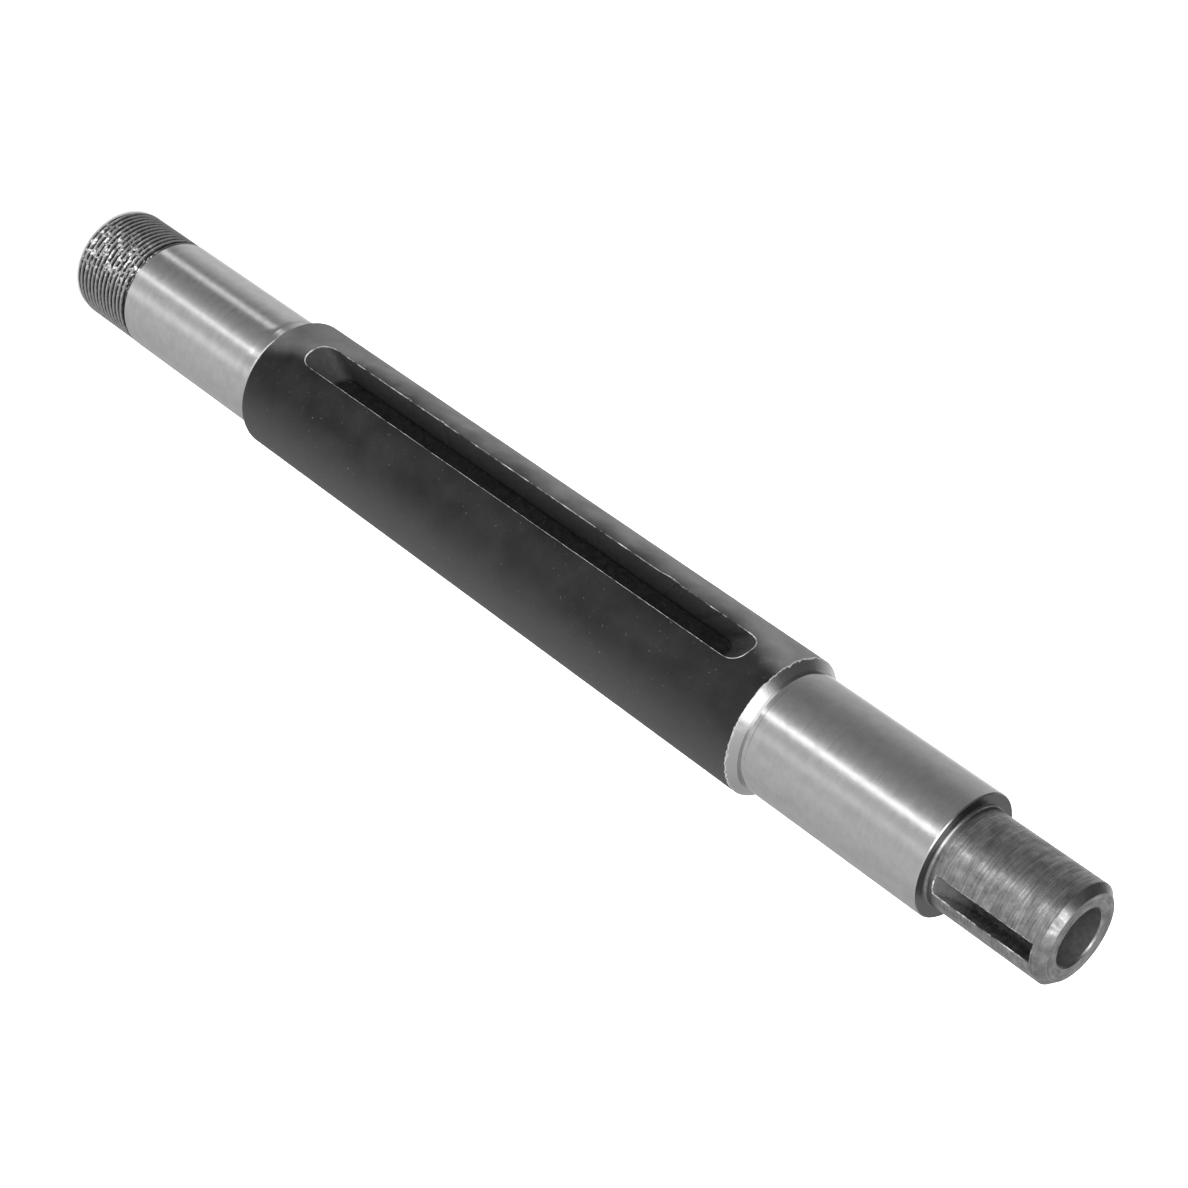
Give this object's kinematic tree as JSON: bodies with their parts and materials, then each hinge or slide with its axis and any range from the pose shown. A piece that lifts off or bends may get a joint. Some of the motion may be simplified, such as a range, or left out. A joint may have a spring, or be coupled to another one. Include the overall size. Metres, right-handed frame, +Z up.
{
  "type": "steering shaft",
  "caption": "Stepped steel shaft with a threaded end, ground journals, a thick body with a long round-ended keyway, and a bored spigot with a short keyway.",
  "frame": {"origin": "centre of the threaded end's face, on which the shaft stands", "axes": "+Z up the shaft's axis to the bored end, -Y out of the long keyway"},
  "size_m": [0.04, 0.04, 0.382],
  "materials": {
    "shaft_steel": "ground bright journals, dark scaled body, turned spigot, cut thread"
  },
  "bodies": {
    "root": {"steering_shaft": "shaft_steel"}
  },
  "joints": []
}
